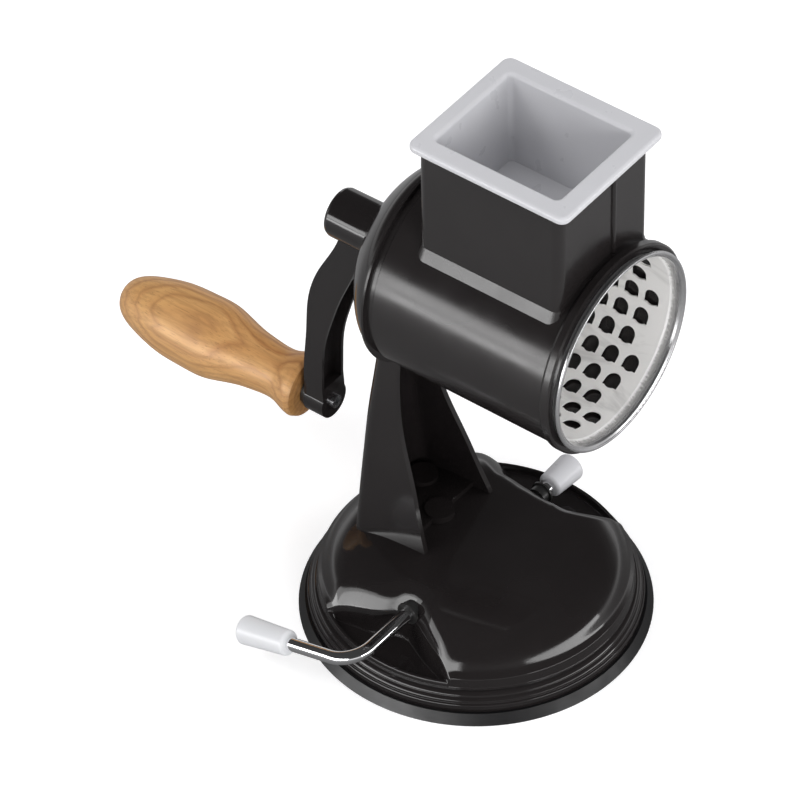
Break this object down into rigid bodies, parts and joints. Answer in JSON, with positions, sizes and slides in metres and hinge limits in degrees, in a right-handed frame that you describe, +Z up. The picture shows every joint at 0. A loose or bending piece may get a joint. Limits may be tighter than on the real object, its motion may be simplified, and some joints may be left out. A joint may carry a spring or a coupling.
{
  "type": "rotary drum grater",
  "caption": "Hand-cranked rotary drum grater with a suction base, tall square hopper, hollow pusher and wooden crank grip.",
  "frame": {"origin": "centre of the suction base on the table", "axes": "+X along the drum axis out of its mouth, +Z up, +Y to the side of the short lever end"},
  "size_m": [0.286, 0.1792, 0.2994],
  "materials": {
    "gloss_black": "polished moulded plastic",
    "cup_rubber": "soft satin rubber",
    "light_grey": "smooth moulded plastic",
    "rod_chrome": "bright plated",
    "drum_steel": "polished stainless sheet",
    "screw_steel": "zinc plated",
    "shaft_steel": "turned",
    "bearing_plastic": "natural nylon",
    "spacer_black": "satin",
    "grip_wood": "lacquered light hardwood"
  },
  "bodies": {
    "stand": {"base_shell": "gloss_black", "suction_cup": "cup_rubber", "rod_bushes": "spacer_black", "column": "gloss_black", "foot_screws": "screw_steel", "head_screws": "screw_steel", "drum_housing": "gloss_black", "rear_cover": "gloss_black", "shaft_bush": "bearing_plastic"},
    "crank": {"crank_arm": "gloss_black", "drive_shaft": "shaft_steel", "shaft_clip": "shaft_steel", "shaft_washer": "bearing_plastic", "grip_screw": "screw_steel", "grip_spacer": "spacer_black", "grip_spindle": "shaft_steel"},
    "grip": {"wooden_grip": "grip_wood", "grip_bush": "bearing_plastic"},
    "drum": {"drum": "drum_steel", "drum_back": "drum_steel", "drum_socket": "bearing_plastic", "socket_rivets": "screw_steel"},
    "pusher": {"pusher": "light_grey"},
    "lever": {"suction_lever": "rod_chrome", "lever_cap_near": "light_grey", "lever_cap_far": "light_grey"},
    "stem": {"cup_stem": "bearing_plastic"}
  },
  "joints": [
    {"name": "crank_turn", "type": "hinge", "parent": "stand", "child": "crank", "pos_m": [-0.05, 0, 0.1993], "axis": [1, 0, 0], "continuous": true},
    {"name": "grip_spin", "type": "hinge", "parent": "crank", "child": "grip", "pos_m": [-0.12, 0, 0.08], "axis": [1, 0, 0], "continuous": true},
    {"name": "drum_pull", "type": "slide", "parent": "crank", "child": "drum", "axis": [1, 0, 0], "range_m": [0, 0.115]},
    {"name": "pusher_lift", "type": "slide", "parent": "stand", "child": "pusher", "axis": [0, 0, 1], "range_m": [0, 0.07]},
    {"name": "lever_turn", "type": "hinge", "parent": "stand", "child": "lever", "pos_m": [0.001, 0, 0.0315], "axis": [0.0227, 0.9997, 0], "range_deg": [0, 180]},
    {"name": "stem_lift", "type": "slide", "parent": "stand", "child": "stem", "axis": [0, 0, 1], "range_m": [-0.003, 0], "deforming": ["suction_cup"]}
  ],
  "couplings": [
    {"joint": "stem_lift", "follows": "lever_turn", "m_per_rad": -0.00095493}
  ]
}
